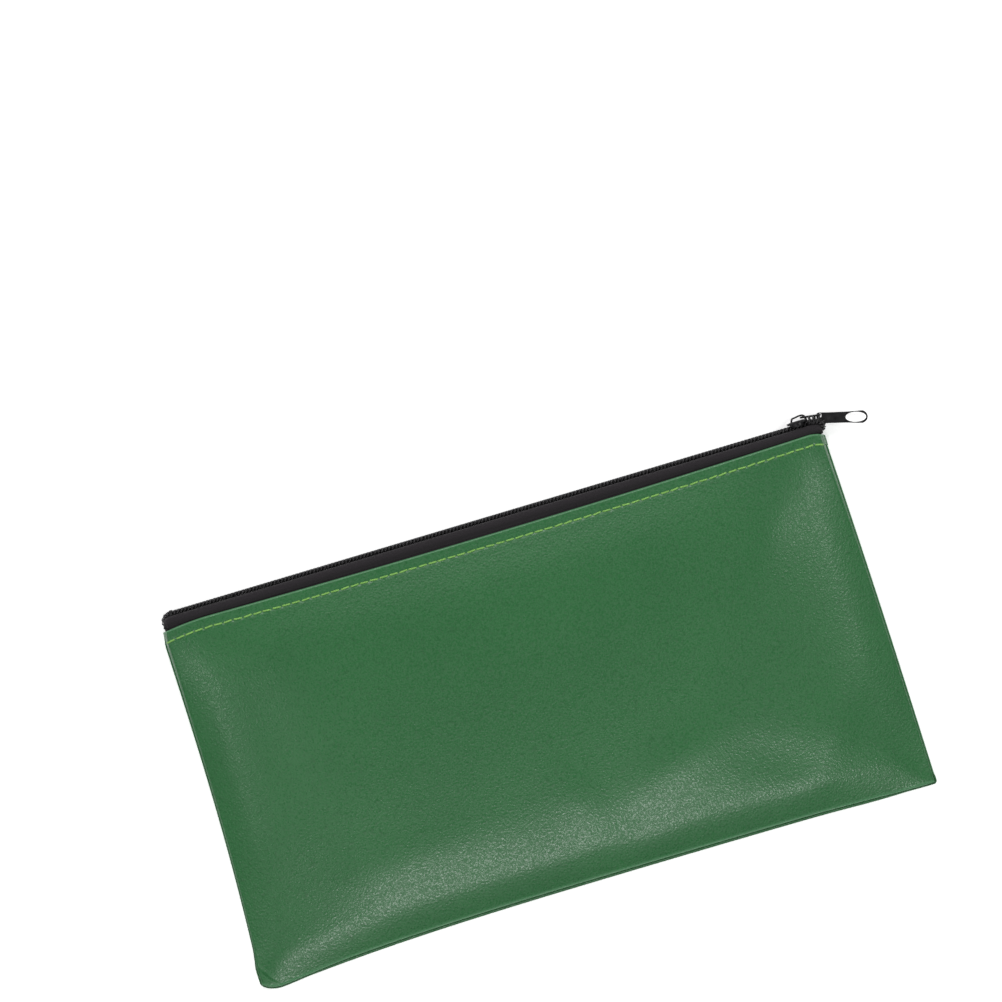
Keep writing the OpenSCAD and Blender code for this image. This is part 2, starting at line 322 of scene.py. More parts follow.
def left_x(y):
    """The bag's left side: hollow at mid height, and turned out at its foot."""
    s = rise_share(y)
    flare = (BAG_W - MOUTH_W) / 2 * np.clip(1 - s, 0, None) ** 3
    hollow = LEFT_HOLLOW * np.sin(np.pi * np.clip(s, 0, 1))
    step = LEFT_STEP * ramp((s - 0.96) / 0.05)
    foot = LEFT_FOOT * hump(y - BOTTOM - 6, 5)
    return -MOUTH_W / 2 - LEFT_INSET - flare + hollow + step - foot


def right_x(y):
    """The bag's right side: it leans out towards the bottom."""
    s = rise_share(y)
    bulge = RIGHT_BULGE * np.sin(np.pi * np.clip(s, 0, 1))
    return MOUTH_W / 2 - RIGHT_INSET + RIGHT_FLARE * (1 - s) + bulge


def bottom_y(x):
    """The bag's bottom edge: lower towards both ends, with a blunt corner on the left."""
    left, right = left_x(BOTTOM + 4), right_x(BOTTOM + 2)
    blunt = np.clip((left + BLUNT_R - x) / BLUNT_R, 0, 1)
    tight = np.clip((x - right + TIGHT_R) / TIGHT_R, 0, 1)
    bow = (2 * x / BAG_W) ** 2
    right_sag = RIGHT_SAG * hump(x - RIGHT_SAG_X, RIGHT_SAG_L)
    left_sag = CORNER_SAG * (np.clip(-x, 0, None) * 2 / BAG_W) ** 3
    blunt_rise = BLUNT_RISE * (1 - np.sqrt(1 - blunt**1.6))
    tight_rise = TIGHT_R * (1 - np.sqrt(1 - tight**2))
    return BOTTOM - BOTTOM_SAG - bow - right_sag - left_sag + blunt_rise + tight_rise


def edge_y(x):
    """The folded top edge: it bows up towards both ends and drops at the corners."""
    drop = np.where(x > 0, CORNER_DROP_RIGHT, CORNER_DROP_LEFT)
    reach = np.where(x > 0, CORNER_L_RIGHT, CORNER_L_LEFT)
    bow = np.where(x > 0, EDGE_BOW_RIGHT, EDGE_BOW_LEFT)
    past = np.clip(np.abs(x) - MOUTH_W / 2 + reach, 0, reach) / reach
    return EDGE_MID + bow * (2 * x / MOUTH_W) ** 2 - drop * past**2


def groove_z(y):
    """Height of the groove between the two panels, above the table."""
    return SEAM_Z + (ZIP_Z - SEAM_Z) * ramp(rise_share(y))


def lip_bottom(x):
    """Width of the back panel's strip that shows below the front panel."""
    from_left = ramp((x + BAG_W / 2 - 7) / 30)
    from_right = ramp((BAG_W / 2 - 2 - x) / 26)
    return LIP_SIDE_LEFT + (LIP_BOTTOM - LIP_SIDE_LEFT) * from_left * from_right


def front_z(x, y):
    """Top surface of the front panel, from its groove inwards."""
    d_left = x - left_x(y) - LIP_SIDE_LEFT
    d_right = right_x(y) - x - LIP_SIDE_RIGHT
    d_side = np.minimum(d_left, d_right)
    d_bottom = y - bottom_y(x) - lip_bottom(x)
    d_top = np.clip(edge_y(x) - y, 0, None)
    near = np.minimum(d_side, d_bottom)
    base = groove_z(y) + EDGE_START + (EDGE_LIFT - EDGE_START) * roll(near, EDGE_ROLL)
    belly = SIDE_SLOPE * band(soft_min(d_side, d_bottom, SIDE_BLEND) + 0.2, SIDE_BAND)
    belly = belly + PUFF_H * puff(d_side, PUFF_R) * puff(d_bottom, PUFF_R)
    fade = ramp(near / DENT_FADE_SIDE)
    belly = belly + soft_dents(x, y) * fade * ramp(d_top / DENT_FADE_TOP)
    hem = (HEM_H - ZIP_Z - EDGE_LIFT) * swell(d_side, HEM_ROLL)
    near_hem = np.exp(-((d_top / HEM_SPAN) ** 1.5))
    z = base + belly * (1 - near_hem) + hem * near_hem
    return z + stitch_draw(x, y) * ramp(d_side / 3) + corner_pinch(x, y)


# Soft swells and hollows of the front panel:
# middle x, middle y, length, width, turn in degrees, height
DENTS = [
    (-72, -46, 46, 10, 3, 0.5),
    (48, -38, 24, 10, 20, 0.95),
    (2, -44, 9, 14, 12, 0.7),
    (106, -44, 26, 9, 58, 0.9),
    (103, 34, 26, 9, 60, 0.7),
    (-108, 22, 10, 34, 4, -0.45),
    (-100, -26, 12, 30, 2, -0.5),
    (84, -50, 24, 9, -24, -0.5),
    (24, -58, 14, 7, 10, -0.4),
    (-117, -49, 22, 16, 0, -1.0),
]


def soft_dents(x, y):
    """Height that the swells and hollows add up to."""
    total = 0 * x
    for mx, my, length, width, turn, height in DENTS:
        a = math.radians(turn)
        along = (x - mx) * math.cos(a) + (y - my) * math.sin(a)
        across = -(x - mx) * math.sin(a) + (y - my) * math.cos(a)
        total = total + height * np.exp(-((along / length) ** 2) - (across / width) ** 2)
    return total


def stitch_draw(x, y):
    """The stitches draw the hem down, deepest where the thread goes in."""
    row = edge_y(x) - EDGE_INSET
    turn = 2 * math.pi * (x - FIRST_STITCH + STITCH_GAP / 2) / STITCH_PITCH
    hole = (0.5 + 0.5 * np.cos(turn)) ** 3
    return -(ROW_DRAW * hump(y - row, ROW_DRAW_W) + HOLE_DRAW * hole * hump(y - row, HOLE_R))


def corner_pinch(x, y):
    """The blunt corner, bottom left, is pinched across by its turned seam."""
    cx, cy = left_x(BOTTOM) + PINCH_X, BOTTOM + PINCH_Y
    along = (x - cx) * math.cos(PINCH_TURN) + (y - cy) * math.sin(PINCH_TURN)
    across = -(x - cx) * math.sin(PINCH_TURN) + (y - cy) * math.cos(PINCH_TURN)
    folds = sum(height * hump(across - at, width) for at, width, height in PINCH_FOLDS)
    return folds * hump(along, PINCH_L)


def back_z(x, y):
    """Underside of the back panel: flat where it rests, turned up at the seams."""
    d_side = np.minimum(x - left_x(y), right_x(y) - x)
    d_bottom = y - bottom_y(x)
    d_top = np.clip(edge_y(x) - y, 0, None)
    reach = BACK_ROLL_TOP + (BACK_ROLL - BACK_ROLL_TOP) * ramp(d_top / BACK_ROLL_SPAN)
    inner = swell(d_side, reach) * swell(d_bottom, BACK_ROLL)
    tight = roll(np.minimum(d_side, d_bottom), EDGE_ROLL)
    z = (groove_z(y) - BACK_GAP) * (1 - inner) + BACK_LIFT * (1 - tight)
    return z - stitch_draw(x, y) * BACK_DRAW


def crowd(n, strength):
    """n + 1 shares from 0 to 1 that crowd towards both ends."""
    t = np.linspace(0, 1, n + 1)
    return t - strength * np.sin(2 * math.pi * t)


def panel_grid(nx, ny, lip):
    """X and Y of a grid that fills the outline, less a share of the lips, row by row along X."""
    u, v = crowd(nx, 0.12), crowd(ny, 0.11)
    y0 = BOTTOM + v * (EDGE_MID - BOTTOM)
    low = left_x(y0) + LIP_SIDE_LEFT * lip
    high = right_x(y0) - LIP_SIDE_RIGHT * lip
    x = low[None, :] + u[:, None] * (high - low)[None, :]
    floor_y = bottom_y(x) + lip_bottom(x) * lip
    return x, floor_y + v[None, :] * (edge_y(x) - FOLD_R - floor_y)


def boundary(nx, ny):
    """Indices of the open edge: down the right side, along the bottom, up the left side."""
    right = [nx * (ny + 1) + j for j in range(ny, 0, -1)]
    bottom = [i * (ny + 1) for i in range(nx, 0, -1)]
    left = list(range(0, ny + 1))
    return right + bottom + left


def inward(edge):
    """Unit vectors, in plan, that point into the bag along its open edge."""
    step = unit_rows(np.gradient(edge[:, :2], axis=0))
    return np.stack([step[:, 1], -step[:, 0], 0 * step[:, 0]], axis=1)


def lip_width(edge):
    """How far the back panel shows beyond the front one, at each point of the open edge."""
    x, y = edge[:, 0], edge[:, 1]
    sides = np.where(x > 0, LIP_SIDE_RIGHT, LIP_SIDE_LEFT)
    d_bottom = y - bottom_y(x)
    return sides + (lip_bottom(x) - sides) * ramp(1 - (d_bottom - 1) / 3)


def strip_faces(before, now, flip):
    """Quads between two rows of points."""
    faces = []
    for k in range(len(now) - 1):
        quad = (before[k], before[k + 1], now[k + 1], now[k])
        faces.append(quad[::-1] if flip else quad)
    return faces


def add_rings(points, faces, ring, profile, flip):
    """Carries an open edge on through steps of (lip widths inwards, millimetres, height)."""
    points = list(points)
    edge = np.array([points[i] for i in ring])
    normal = inward(edge)
    width = lip_width(edge)[:, None]
    before = ring
    for share, d, z in profile:
        moved = edge + normal * (width * share + d)
        moved[:, 2] = groove_z(edge[:, 1]) + z
        now = list(range(len(points), len(points) + len(ring)))
        points += list(moved)
        faces += strip_faces(before, now, flip)
        before = now
    return np.array(points), faces


def add_fold(points, faces, nx, ny, up):
    """Folds the panel's top edge round and back inside, as a hem."""
    points = list(points)
    row = [i * (ny + 1) + ny for i in range(nx + 1)]
    edge = np.array([points[i] for i in row])
    ends = np.minimum(edge[:, 0] - edge[0, 0], edge[-1, 0] - edge[:, 0])
    radius = FOLD_R * (FOLD_END_SHARE + (1 - FOLD_END_SHARE) * roll(ends, FOLD_END_L))
    before = row
    turns = [(math.radians(a), 0) for a in range(18, 181, 18)]
    for a, back in turns + [(math.pi, back) for back in HEM_BACK]:
        moved = edge.copy()
        moved[:, 1] += FOLD_R * math.sin(a) - back
        moved[:, 2] += up * radius * (math.cos(a) - 1)
        now = list(range(len(points), len(points) + len(row)))
        points += list(moved)
        faces += strip_faces(before, now, up < 0)
        before = now
    return np.array(points), faces


def thicken(obj, thickness):
    """Gives a surface its thickness, inwards."""
    shell = obj.modifiers.new("sheet", "SOLIDIFY")
    shell.thickness = thickness * MM
    shell.offset = -1
    shell.use_even_offset = False


NX, NY = ((540, 220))

# Seam profiles, from the panel's edge on: lip widths inwards, millimetres inwards, height
FRONT_TUCK = [(0, 0.05, 0.0), (0, 0.3, -0.3), (0, 2.4, -0.4)]
BACK_LIP = [
    (0, 0.01, 0.0), (0.12, 0, 0.18), (0.35, 0, 0.36), (0.6, 0, 0.5),
    (0.82, 0, 0.52), (0.96, 0, 0.4), (1.0, 0.04, 0.05),
]


def build_panel(name, surface, lip, profile, up):
    """One panel, with its edge turned in at the seams and its top folded in as a hem."""
    x, y = panel_grid(NX, NY, lip)
    points = np.stack([x, y, surface(x, y)], axis=2).reshape(-1, 3)
    faces = grid_faces(NX + 1, NY + 1, flip=up < 0)
    points, faces = add_rings(points, faces, boundary(NX, NY), profile, flip=up < 0)
    points, faces = add_fold(points, faces, NX, NY, up)
    obj = make_object(name, points, faces, "bag")
    thicken(obj, SHEET_T)
    return obj


# ---- zip ----

def zip_point(s, h, w):
    """A point of the zip: s along it, h above the curl's centre, w towards the front.

    Past the straight run the zip turns down through a quarter circle and goes on down.
    """
    s, h, w = np.broadcast_arrays(np.asarray(s, float), h, w)
    past = np.clip(np.abs(s) - RUN_X, 0, None)
    angle = np.minimum(past / CURL_R, math.pi / 2)
    tail = np.clip(past - CURL_R * math.pi / 2, 0, None)
    x = np.sign(s) * (np.clip(np.abs(s), 0, RUN_X) + h * np.sin(angle))
    y = CURL_Y + h * np.cos(angle) - tail
    return np.stack([x, y, ZIP_Z + w], axis=-1)


TAPE_H = TAPE_TOP - CURL_Y
ZIP_END = RUN_X + CURL_R * math.pi / 2 + TAIL_L


def opened(s, h, w):
    """Rolls the zip's inner edge outwards where the coils part in front of the slider."""
    share = ramp((s - FAN_START) / FAN_LENGTH) * (1 - ramp((s - RUN_X) / FAN_DECAY))
    a = share * FAN_TURN
    inner = w < COIL_OUT
    dw, dh = np.minimum(w - COIL_OUT, 0), np.where(inner, h - TAPE_H, 0)
    turned_w = COIL_OUT + dw * np.cos(a) + dh * np.sin(a) * FAN_PRESS
    turned_h = TAPE_H - dw * np.sin(a) + dh * np.cos(a)
    return zip_point(s, np.where(inner, turned_h, h), np.where(inner, turned_w, w))


# Inside a coil: the height of its two legs above the tape, its filler cord and its sewing
TOP_LEG = 1.82
LOW_LEG = 0.38
CORD_H = 1.1
CORD_W = 1.4
CORD_R = 0.4
CORD_WOBBLE = 0.04
SEWING_ROWS = (1.15, 2.15)
SEWING_R = 0.13


def loop_numbers(margin=0):
    """Numbers of the coil's loops from end to end, less a margin at both ends."""
    first = math.ceil(-ZIP_END / PITCH) + margin
    return range(first, math.floor(ZIP_END / PITCH) - margin)


def coil_path(shift):
    """One coil's centre line, loop after loop: s, h above the tape, w."""
    shape = [
        (-0.24, TOP_LEG, 2.5), (-0.08, TOP_LEG, 1.2), (-0.03, TOP_LEG, 0.2),
        (0.0, TOP_LEG - 0.12, -0.3), (0.0, CORD_H, -0.52), (0.0, LOW_LEG + 0.12, -0.3),
        (0.03, LOW_LEG, 0.2), (0.08, LOW_LEG, 1.2), (0.24, LOW_LEG, 2.5), (0.5, CORD_H, 2.66),
    ]
    path = []
    for k in loop_numbers():
        for ds, h, w in shape:
            path.append(((k + shift + ds) * PITCH, TAPE_H + h, w))
    return smooth_path(path, 2)


def mirror_zip(points):
    """The same points on the other side of the zip's middle plane."""
    out = np.array(points)
    out[:, 2] = 2 * ZIP_Z - out[:, 2]
    return out


def sided(points, faces, side):
    """A front zip shape, or its mirror image for the back."""
    if side > 0:
        return points, faces
    return mirror_zip(points), [f[::-1] for f in faces]


def build_coil(name, side):
    """The nylon wire of one coil."""
    line = opened(*coil_path(0 if side > 0 else 0.5).T)
    points, faces = tube(line, WIRE_R)
    return make_object(name, *sided(points, faces, side), "bag")


def build_cord(name, side):
    """The filler cord inside one coil."""
    s = np.linspace(-ZIP_END + 1, ZIP_END - 1, 700)
    h = TAPE_H + CORD_H + CORD_WOBBLE * np.sin(s * 5)
    w = CORD_W + CORD_WOBBLE * np.cos(s * 5)
    points, faces = tube(opened(s, h, w), CORD_R)
    return make_object(name, *sided(points, faces, side), "bag")


def build_coil_thread(name, side):
    """Two rows of sewing thread that ride over every coil leg."""
    shift = 0 if side > 0 else 0.5
    top = TAPE_H + TOP_LEG + WIRE_R
    parts = []
    for w in SEWING_ROWS:
        path = []
        for k in loop_numbers(margin=1):
            path.append(((k + shift - 0.16) * PITCH, top + 0.08, w + 0.1))
            path.append(((k + shift + 0.16) * PITCH, top, w - 0.1))
            path.append(((k + shift + 0.5) * PITCH, top - 0.24, w))
        parts.append(tube(opened(*smooth_path(path, 2).T), SEWING_R, 6))
    points, faces = join(parts)
    return make_object(name, *sided(points, faces, side), "bag")


# The tape lies flat from TAPE_INNER to TAPE_SHOULDER, and below that narrows to its waist
TAPE_INNER = 0.75
TAPE_SHOULDER = 3.3
WAIST_START = 1.5
WAIST_DEPTH = 2.6

# Each end of the tape: how far past the straight run it reaches, and the depth from which
# it tapers back inside the hem
TAPE_LEFT = (3.6, 5.6)
TAPE_RIGHT = (2.6, 3.2)
TAPE_TAPER = 5.5
TAPE_TAPER_DEPTH = 3.0

# The tape's free corners droop and draw in, and its face ripples
TAPE_CORNER = 4.0
TAPE_DROOP = 2.4
TAPE_DROOP_DEPTH = 5.0
TAPE_PINCH = 1.6
TAPE_RISE_DEPTH = 1.2
RIPPLE_H = 0.08
RIPPLE_L = 9.0


def tape_section():
    """Section of the tape, from under the coil outwards and down into the hem: depth, w."""
    section = [(0.0, w) for w in np.linspace(TAPE_INNER, TAPE_SHOULDER, 8)]
    r = TAPE_BULGE - TAPE_SHOULDER
    for a in np.radians(range(15, 91, 15)):
        section.append((r * (1 - math.cos(a)), TAPE_SHOULDER + r * math.sin(a)))
    for depth in np.linspace(1.6, TAPE_L, 22):
        waist = ramp((depth - WAIST_START) / WAIST_DEPTH)
        section.append((depth, TAPE_BULGE + (TAPE_WAIST - TAPE_BULGE) * waist))
    return section


def tape_reach(depth, end):
    """How far from the middle the tape reaches, at a depth below its top."""
    past, taper_from = end
    return RUN_X + past - TAPE_TAPER * ramp((depth - taper_from) / TAPE_TAPER_DEPTH)


def hang(row, s, depth):
    """Moves a row of the tape down to its depth, with its ends cut back and rounded."""
    left, right = tape_reach(depth, TAPE_LEFT), tape_reach(depth, TAPE_RIGHT)
    straight = RUN_X - 9
    row[:, 0] = np.interp(
        s, [-ZIP_END, -straight, straight, ZIP_END], [-left, -straight, straight, right]
    )
    past = np.abs(row[:, 0]) - np.where(s > 0, right, left)
    end = np.clip(past + TAPE_CORNER, 0, TAPE_CORNER) / TAPE_CORNER
    droop = TAPE_DROOP * (1 - np.sqrt(1 - end**2)) * ramp(1 - depth / TAPE_DROOP_DEPTH)
    rise = TAPE_RISE * (1 - ramp(depth / TAPE_RISE_DEPTH))
    row[:, 1] = TAPE_TOP + rise - depth - droop
    row[:, 2] -= TAPE_PINCH * end**3


def build_tape(name, side):
    """Woven tape: flat under the coil, then down over the slider's plate into the hem."""
    count = 420
    s = np.linspace(-ZIP_END, ZIP_END, count)
    rows = []
    for depth, w in tape_section():
        row = opened(s, TAPE_H + TAPE_RISE, w)
        if depth > 0:
            hang(row, s, depth)
        row[:, 2] += RIPPLE_H * np.sin(s / RIPPLE_L + 1.3 * side) * ramp(depth / 2)
        rows.append(row)
    points = np.stack(rows, axis=1).reshape(-1, 3)
    faces = grid_faces(count, len(rows), flip=True)
    obj = make_object(name, *sided(points, faces, side), "bag")
    thicken(obj, TAPE_T)
    return obj


# ---- stitches ----

# A ply's distance from the thread's middle and its own radius, in thread radii
PLY_OUT = 0.62
PLY_R = 0.72
PLY_FLAT = 0.6


def two_ply(line, radius):
    """Two threads twisted round each other along a path."""
    step = unit_rows(np.gradient(line, axis=0))
    side = unit_rows(np.cross(step, [0, 0, 1]))
    up = np.cross(side, step)
    run = np.linalg.norm(np.diff(line, axis=0, prepend=line[:1]), axis=1).cumsum()[:, None]
    parts = []
    for ply in (0, math.pi):
        a = 2 * math.pi * run / TWIST_L + ply
        offset = (side * np.cos(a) + up * np.sin(a) * PLY_FLAT) * radius * PLY_OUT
        parts.append(tube(line + offset, radius * PLY_R, 6))
    return join(parts)


def stitch_arch(t):
    """Height of a stitch along its own length: it dives into the sheet at both ends."""
    return np.clip(np.sin(math.pi * t) * 2.2, 0, 1) ** 0.8


def stitch_z(x, y, t, side):
    """Height of a topstitch, which rides on the sheet and dives into it at both ends."""
    if side > 0:
        return front_z(x, y) - stitch_draw(x, y) - 0.35 + 0.45 * stitch_arch(t)
    return back_z(x, y) + stitch_draw(x, y) * BACK_DRAW + 0.52 - 0.16 * stitch_arch(t)


def build_topstitch(name, side):
    """The row of stitches that holds the hem to the zip tape."""
    rng = random.Random(11 if side > 0 else 12)
    t = np.linspace(0, 1, 15)
    parts = []
    for k in range(STITCHES):
        start = FIRST_STITCH + k * STITCH_PITCH
        x = start + rng.uniform(-STITCH_DRIFT, STITCH_DRIFT) + STITCH_L * t
        y = edge_y(x) - EDGE_INSET + rng.uniform(*STITCH_TILT) * (2 * t - 1)
        parts.append(two_ply(np.stack([x, y, stitch_z(x, y, t, side)], axis=1), STITCH_R))
    points, faces = join(parts)
    return make_object(name, points, faces, "bag")


def build_seam_thread(name, runs):
    """Lock stitches deep in the groove between the two panels."""
    t = np.linspace(0, 1, 12)
    parts = []
    for start, end in runs:
        line = np.array(start) + (np.array(end) - np.array(start)) * t[:, None]
        line[:, 2] += 0.12 * stitch_arch(t)
        parts.append(two_ply(line, SEAM_STITCH_R))
    points, faces = join(parts)
    return make_object(name, points, faces, "bag")


def seam_point(which, at):
    """A point of a seam, from its x on the bottom seam or its y on a side seam."""
    x = y = np.array(at)
    if which == "bottom":
        y = bottom_y(x) + lip_bottom(x)
    elif which == "left":
        x = left_x(y) + LIP_SIDE_LEFT
    else:
        x = right_x(y) - LIP_SIDE_RIGHT
    return float(x), float(y), float(groove_z(y)) + SEAM_STITCH_LIFT


def seam_runs(which):
    """Both ends of each stitch along one seam."""
    if which == "bottom":
        at, stop = -BAG_W / 2 + 9, BAG_W / 2 - 6
    else:
        at, stop = BOTTOM + 8, EDGE_MID - 6
    runs = []
    while at < stop:
        runs.append((seam_point(which, at), seam_point(which, at + STITCH_L)))
        at += STITCH_PITCH
    return runs


# ---- metal pieces ----

def signed_area(loop):
    """A loop's area, positive when it runs anticlockwise."""
    x, y = loop[:, 0], loop[:, 1]
    return 0.5 * float(np.sum(x * np.roll(y, -1) - np.roll(x, -1) * y))


def inset_directions(loop):
    """How each corner of a loop moves when its edges move one millimetre into the metal."""
    ahead = unit_rows(np.roll(loop, -1, axis=0) - loop)
    left = np.stack([-ahead[:, 1], ahead[:, 0]], axis=1)
    both = left + np.roll(left, 1, axis=0)
    return 2 * both / np.clip((both**2).sum(axis=1), 1.2, None)[:, None]


def plate_levels(thickness, bevel):
    """How far in, and how high, each ring of a plate's rounded wall lies."""
    half = thickness / 2
    rounding = [(1.3 * bevel, half)]
    for a in np.radians([0, 30, 60, 90]):
        rounding.append((bevel * (1 - math.sin(a)), half - bevel * (1 - math.cos(a))))
    return rounding + [(d, -z) for d, z in reversed(rounding)]


def plate_wall(outline, levels, outer, start):
    """Points and faces of the wall along a plate's outline, or round a hole in it."""
    loop = np.array(outline, float)
    if (signed_area(loop) > 0) != outer:
        loop = loop[::-1]
    move = inset_directions(loop)
    n = len(loop)
    points, faces = [], []
    for d, z in levels:
        points += [(x, y, z) for x, y in loop + move * d]
    for ring in range(len(levels) - 1):
        for i in range(n):
            a, b = start + ring * n + i, start + ring * n + (i + 1) % n
            faces.append((a, a + n, b + n, b))
    return points, faces


def plate_cap(points, loops, flip):
    """Triangles that close one side of a plate, round its holes."""
    corners_of = [[Vector((*points[i][:2], 0)) for i in loop] for loop in loops]
    flat = [i for loop in loops for i in loop]
    faces = []
    for triangle in tessellate_polygon(corners_of):
        corners = [flat[i] for i in triangle]
        if (signed_area(np.array([points[i][:2] for i in corners])) < 0) != flip:
            corners.reverse()
        faces.append(tuple(corners))
    return faces


def plate(outlines, thickness, bevel, place):
    """A flat plate with rounded edges, from its outline and any holes in it."""
    levels = plate_levels(thickness, bevel)
    points, faces, top, bottom = [], [], [], []
    for k, outline in enumerate(outlines):
        start, n = len(points), len(outline)
        wall_points, wall_faces = plate_wall(outline, levels, k == 0, start)
        points += wall_points
        faces += wall_faces
        top.append(list(range(start, start + n)))
        bottom.append(list(range(len(points) - n, len(points))))
    faces += plate_cap(points, top, False) + plate_cap(points, bottom, True)
    return place(np.array(points)), faces


def arc(cx, cy, rx, ry, a0, a1, n=12):
    """Points along part of an ellipse, between two angles in degrees."""
    a = np.radians(np.linspace(a0, a1, n))
    return [(cx + rx * math.cos(t), cy + ry * math.sin(t)) for t in a]


def xz_plate(y_mid):
    """Places a plate's own plane in the bag's X and Z, at a height along Y."""
    def place(co):
        return np.stack([co[:, 0], y_mid - co[:, 2], co[:, 1]], axis=1)
    return place


def xy_plate(z_mid):
    """Leaves a plate flat, at a height along Z."""
    def place(co):
        return np.stack([co[:, 0], co[:, 1], z_mid + co[:, 2]], axis=1)
    return place


# Slider: how much shorter than the CAD body its plates are, their corners and thickness, and
# its flanges
NOSE_CUT = 0.8
TAIL_CUT = 1.1
NOSE_R = 1.3
TAIL_R = 1.1
PLATE_T = 0.95
RIM_T = 0.5
FLANGE_LOW = TAPE_TOP + 1.2
FLANGE_HALF_T = 0.5
FLANGE_TAIL_HALF_T = 0.42

# Half of the wedge that parts the coils, from its tip: x from the slider's middle, z
WEDGE = [(0.7, 0.05), (2.6, 0.65), (3.9, 0.3)]


def slider_outline(cx, half_l, mouth, tail):
    """Outline of a slider plate in X and Z, wide at the nose and narrower at the tail."""
    nose, back = cx + half_l, cx - half_l
    out = arc(nose - NOSE_R, mouth / 2 - NOSE_R, NOSE_R, NOSE_R, 0, 90, 7)
    out += [(cx + 0.3, mouth / 2)]
    out += [(back + 2.0, tail / 2 + 0.12)]
    out += arc(back + TAIL_R, tail / 2 - TAIL_R, TAIL_R, TAIL_R, 90, 180, 6)
    out += [(x, -z) for x, z in reversed(out)]
    return [(x, z + ZIP_Z) for x, z in out]


def flange_outline(cx, half, wide, side):
    """Outline of the flange along one edge of the slider, in X and Z."""
    z = ZIP_Z + side * (wide / 2 - 0.55)
    z_tail = ZIP_Z + side * (wide / 2 - 1.0)
    tail, nose = cx - half + 1.2, cx + half - 1.6
    return [
        (tail, z_tail - FLANGE_TAIL_HALF_T), (cx, z - FLANGE_HALF_T), (nose, z - FLANGE_HALF_T),
        (nose, z + FLANGE_HALF_T), (cx, z + FLANGE_HALF_T), (tail, z_tail + FLANGE_TAIL_HALF_T),
    ]


def build_slider_body():
    """Two plates, the wedge between them and a flange along each edge."""
    tail, nose = SLIDER_LOW[0] + TAIL_CUT, SLIDER_HIGH[0] - NOSE_CUT
    cx, half = (tail + nose) / 2, (nose - tail) / 2
    low_y, top_y = SLIDER_LOW[1], SLIDER_HIGH[1]
    wide = SLIDER_HIGH[2] - SLIDER_LOW[2]
    upper = slider_outline(cx, half, wide, 7.8)
    lower = slider_outline(cx, half, 7.5, 7.0)
    rim = slider_outline(cx, half - 0.9, wide - 1.8, 6.0)
    wedge = [(cx + x, ZIP_Z + z) for x, z in WEDGE]
    wedge += [(cx + x, ZIP_Z - z) for x, z in reversed(WEDGE)]
    parts = [
        plate([upper], PLATE_T, 0.3, xz_plate(top_y - PLATE_T / 2)),
        plate([rim], RIM_T, 0.2, xz_plate(top_y - 0.1)),
        plate([lower], PLATE_T, 0.3, xz_plate(low_y + PLATE_T / 2)),
        plate([wedge], top_y - low_y - 0.4, 0.1, xz_plate((top_y + low_y) / 2)),
    ]
    depth = top_y - PLATE_T + 0.5 - FLANGE_LOW
    for side in (-1, 1):
        flange = flange_outline(cx, half, wide, side)
        parts.append(plate([flange], depth, 0.18, xz_plate(FLANGE_LOW + depth / 2)))
    points, faces = join(parts)
    return make_object("slider_body_metal", points, faces, "slider")


# How far the bridge's strip stands outwards and inwards of its middle line
BRIDGE_OUT = 0.42
BRIDGE_IN = 0.27


def build_bridge():
    """A strip that arches from the slider's tail over to its nose."""
    low, high = node_box("slider_bridge")
    x0, x1, y0, y1 = low[0] + 1.5, high[0], low[1], high[1] - 0.25
    middle = [
        (x0 + 0.1, y0 - 0.3), (x0 + 0.3, y0 + 0.5), (x0 + 0.85, y0 + 1.3),
        (x0 + 2.1, y1 - 0.55), (x1 - 2.4, y1 - 0.3), (x1 - 1.1, y1 - 0.45),
        (x1 - 0.42, y1 - 1.1), (x1 - 0.3, y0 - 0.2),
    ]
    path = smooth_path(middle, 6)
    step = unit_rows(np.gradient(path, axis=0))
    normal = np.stack([-step[:, 1], step[:, 0]], axis=1)
    outer, inner = path + normal * BRIDGE_OUT, path - normal * BRIDGE_IN
    outline = [tuple(p) for p in outer] + [tuple(p) for p in inner[::-1]]
    width, middle_z = high[2] - low[2], (low[2] + high[2]) / 2
    points, faces = plate([outline], width, 0.16, xy_plate(middle_z))
    return make_object("slider_bridge_strip", points, faces, "slider")


# The link's two ends, at the middles of its hinges
PIVOT = np.array(frame["joints"][1]["pos_m"]) / MM
FAR = np.array(frame["joints"][2]["pos_m"]) / MM
LINK_R = 1.8
LINK_WIRE_R = 0.4


def build_link():
    """A closed loop of wire, with straight sides between two half circles."""
    length = float(np.linalg.norm(FAR - PIVOT))
    along = (FAR - PIVOT) / length
    up = np.array([0, 0, 1.0])
    path = []
    for cx, a0 in ((LINK_R, 90), (length - LINK_R, -90)):
        for a in np.radians(np.linspace(a0, a0 + 180, 15)):
            path.append(PIVOT + along * (cx + LINK_R * math.cos(a)) + up * LINK_R * math.sin(a))
    path.append(path[0])
    points, faces = tube(path, LINK_WIRE_R, 12)
    open_ended = faces[:-2]
    return make_object("pull_link_wire", points, open_ended, "link")


# Tab, in its own plane with x along it from its neck end
TAB_L = 20.3
TAB_NECK = 4.4
TAB_WAIST = 0.06
TAB_CORNER_R = 0.9
TAB_W = 5.0
TAB_RIM = 0.6
FINGER_L = 8.2
TAB_DROP = math.radians(14.6)
EYE = (1.45, 1.3)
EYE_LOW = 0.8
EYE_R = 0.55


